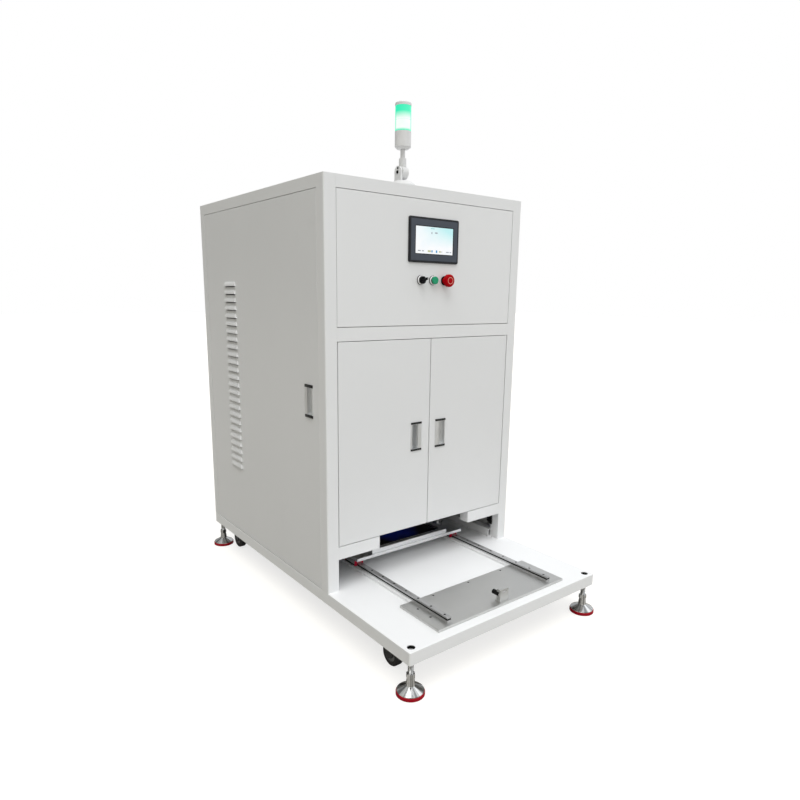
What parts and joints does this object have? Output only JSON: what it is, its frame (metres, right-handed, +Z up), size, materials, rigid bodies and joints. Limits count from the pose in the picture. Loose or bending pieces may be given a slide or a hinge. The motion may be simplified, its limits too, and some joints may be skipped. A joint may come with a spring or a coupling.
{
  "type": "reflow oven",
  "caption": "Floor-standing cabinet reflow oven with a front loading platform, sliding tray on linear rails, heated lift hood, double doors, touch screen, stop button and signal tower.",
  "frame": {"origin": "middle of the footprint on the floor, between the four levelling feet", "axes": "+Z up; -Y towards the loading platform and operator; +X to the operator's right when facing the machine"},
  "size_m": [0.836, 1.364, 1.6255],
  "materials": {
    "frame_white": "semi-gloss powder coat, fine orange peel",
    "panel_white": "semi-gloss powder coat, fine orange peel",
    "hmi_bezel": "fine matte moulded slate plastic",
    "hmi_display": "lit display behind smooth glass",
    "operator_black": "black moulded plastic with a metal collar",
    "button_green": "smooth green plastic",
    "estop_red": "smooth red plastic",
    "zinc_steel": "bright zinc plating",
    "handle_chrome": "satin chrome die casting with black end caps",
    "tower_white": "light grey moulded plastic",
    "tower_pole_metal": "satin anodised",
    "tower_green": "ribbed translucent green lens",
    "rail_steel": "ground hardened steel, lightly oiled",
    "seal_red": "moulded red end seals",
    "stainless": "brushed stainless sheet",
    "tray_aluminium": "machined aluminium",
    "hood_blue": "dark blue stove enamel",
    "lining_ceramic": "chalky fibre board",
    "quartz": "frosted quartz tubes",
    "motor_grey": "grey enamel",
    "hard_chrome": "ground hard chrome",
    "cylinder_aluminium": "clear anodised extrusion",
    "fan_steel": "pressed sheet steel",
    "foot_metal": "bright chrome plate",
    "foot_rubber": "red moulded rubber",
    "caster_black": "black painted pressing",
    "caster_tyre": "black rubber tyre with a grey hub"
  },
  "bodies": {
    "chassis": {"base_frame": "frame_white", "deck_pan": "frame_white", "cabinet_frame": "frame_white", "top_cover": "frame_white", "rear_panel": "frame_white", "control_panel": "frame_white", "hmi_housing": "hmi_bezel", "hmi_screen": "hmi_display", "control_bases": "operator_black", "hinge_pins": "zinc_steel", "tower_foot": "tower_white", "rail_beds": "frame_white", "guide_rails": "rail_steel", "landing_plate": "stainless", "stop_bracket": "zinc_steel", "guide_columns": "hard_chrome", "lift_cylinder": "cylinder_aluminium", "electrical_plate": "zinc_steel", "electrical_modules": "motor_grey"},
    "left_door": {"left_door": "panel_white", "left_door_handle": "handle_chrome"},
    "right_door": {"right_door": "panel_white", "right_door_handle": "handle_chrome"},
    "left_side_panel": {"left_side_panel": "panel_white", "left_panel_handle": "handle_chrome"},
    "right_side_panel": {"right_side_panel": "panel_white", "right_panel_handle": "handle_chrome"},
    "selector": {"selector_knob": "operator_black"},
    "start": {"start_button": "button_green"},
    "estop": {"estop_head": "estop_red"},
    "tower": {"tower_pole": "tower_pole_metal", "tower_body": "tower_white", "tower_lens": "tower_green", "tower_cap": "tower_white"},
    "carriage": {"carriage_blocks": "rail_steel", "block_seals": "seal_red", "cross_bars": "tray_aluminium", "board_tray": "tray_aluminium"},
    "hood": {"hood_shell": "hood_blue", "chamber_lining": "lining_ceramic", "heater_tubes": "quartz", "fan_motor": "motor_grey", "lift_rod": "hard_chrome"},
    "fan": {"fan_wheel": "fan_steel"},
    "foot_front_left": {"foot_front_left": "foot_metal", "foot_pad_front_left": "foot_rubber"},
    "caster_front_left": {"caster_fork_front_left": "caster_black"},
    "wheel_front_left": {"caster_wheel_front_left": "caster_tyre"},
    "foot_front_right": {"foot_front_right": "foot_metal", "foot_pad_front_right": "foot_rubber"},
    "caster_front_right": {"caster_fork_front_right": "caster_black"},
    "wheel_front_right": {"caster_wheel_front_right": "caster_tyre"},
    "foot_rear_left": {"foot_rear_left": "foot_metal", "foot_pad_rear_left": "foot_rubber"},
    "caster_rear_left": {"caster_fork_rear_left": "caster_black"},
    "wheel_rear_left": {"caster_wheel_rear_left": "caster_tyre"},
    "foot_rear_right": {"foot_rear_right": "foot_metal", "foot_pad_rear_right": "foot_rubber"},
    "caster_rear_right": {"caster_fork_rear_right": "caster_black"},
    "wheel_rear_right": {"caster_wheel_rear_right": "caster_tyre"}
  },
  "joints": [
    {"name": "left_door_hinge", "type": "hinge", "parent": "chassis", "child": "left_door", "pos_m": [-0.3515, -0.251, 0.6015], "axis": [0, 0, -1], "range_deg": [0, 110]},
    {"name": "right_door_hinge", "type": "hinge", "parent": "chassis", "child": "right_door", "pos_m": [0.3515, -0.251, 0.6015], "axis": [0, 0, 1], "range_deg": [0, 110]},
    {"name": "left_side_panel_release", "type": "slide", "parent": "chassis", "child": "left_side_panel", "axis": [-1, 0, 0], "range_m": [0, 0.06]},
    {"name": "right_side_panel_release", "type": "slide", "parent": "chassis", "child": "right_side_panel", "axis": [1, 0, 0], "range_m": [0, 0.06]},
    {"name": "selector_turn", "type": "hinge", "parent": "chassis", "child": "selector", "pos_m": [-0.05, -0.262, 1.102], "axis": [0, -1, 0], "range_deg": [0, 90]},
    {"name": "start_press", "type": "slide", "parent": "chassis", "child": "start", "axis": [0, 1, 0], "range_m": [0, 0.003], "stiffness_N_per_m": 400},
    {"name": "estop_press", "type": "slide", "parent": "chassis", "child": "estop", "axis": [0, 1, 0], "range_m": [0, 0.005]},
    {"name": "tower_fold", "type": "hinge", "parent": "chassis", "child": "tower", "pos_m": [-0.069, -0.181, 1.425], "axis": [-1, 0, 0], "range_deg": [0, 90]},
    {"name": "carriage_slide", "type": "slide", "parent": "chassis", "child": "carriage", "axis": [0, -1, 0], "range_m": [0, 0.41]},
    {"name": "hood_lift", "type": "slide", "parent": "chassis", "child": "hood", "axis": [0, 0, -1], "range_m": [0, 0.094]},
    {"name": "fan_spin", "type": "hinge", "parent": "hood", "child": "fan", "pos_m": [0, -0.001, 0.45], "axis": [0, 0, 1], "continuous": true},
    {"name": "foot_front_left_adjust", "type": "slide", "parent": "chassis", "child": "foot_front_left", "axis": [0, 0, -1], "range_m": [-0.003, 0.02]},
    {"name": "caster_front_left_swivel", "type": "hinge", "parent": "chassis", "child": "caster_front_left", "pos_m": [-0.335, -0.532, 0.09], "axis": [0, 0, 1], "continuous": true},
    {"name": "wheel_front_left_roll", "type": "hinge", "parent": "caster_front_left", "child": "wheel_front_left", "pos_m": [-0.335, -0.508, 0.038], "axis": [1, 0, 0], "continuous": true},
    {"name": "foot_front_right_adjust", "type": "slide", "parent": "chassis", "child": "foot_front_right", "axis": [0, 0, -1], "range_m": [-0.003, 0.02]},
    {"name": "caster_front_right_swivel", "type": "hinge", "parent": "chassis", "child": "caster_front_right", "pos_m": [0.335, -0.532, 0.09], "axis": [0, 0, 1], "continuous": true},
    {"name": "wheel_front_right_roll", "type": "hinge", "parent": "caster_front_right", "child": "wheel_front_right", "pos_m": [0.335, -0.508, 0.038], "axis": [1, 0, 0], "continuous": true},
    {"name": "foot_rear_left_adjust", "type": "slide", "parent": "chassis", "child": "foot_rear_left", "axis": [0, 0, -1], "range_m": [-0.003, 0.02]},
    {"name": "caster_rear_left_swivel", "type": "hinge", "parent": "chassis", "child": "caster_rear_left", "pos_m": [-0.335, 0.541, 0.09], "axis": [0, 0, 1], "continuous": true},
    {"name": "wheel_rear_left_roll", "type": "hinge", "parent": "caster_rear_left", "child": "wheel_rear_left", "pos_m": [-0.335, 0.565, 0.038], "axis": [1, 0, 0], "continuous": true},
    {"name": "foot_rear_right_adjust", "type": "slide", "parent": "chassis", "child": "foot_rear_right", "axis": [0, 0, -1], "range_m": [-0.003, 0.02]},
    {"name": "caster_rear_right_swivel", "type": "hinge", "parent": "chassis", "child": "caster_rear_right", "pos_m": [0.335, 0.541, 0.09], "axis": [0, 0, 1], "continuous": true},
    {"name": "wheel_rear_right_roll", "type": "hinge", "parent": "caster_rear_right", "child": "wheel_rear_right", "pos_m": [0.335, 0.565, 0.038], "axis": [1, 0, 0], "continuous": true}
  ]
}
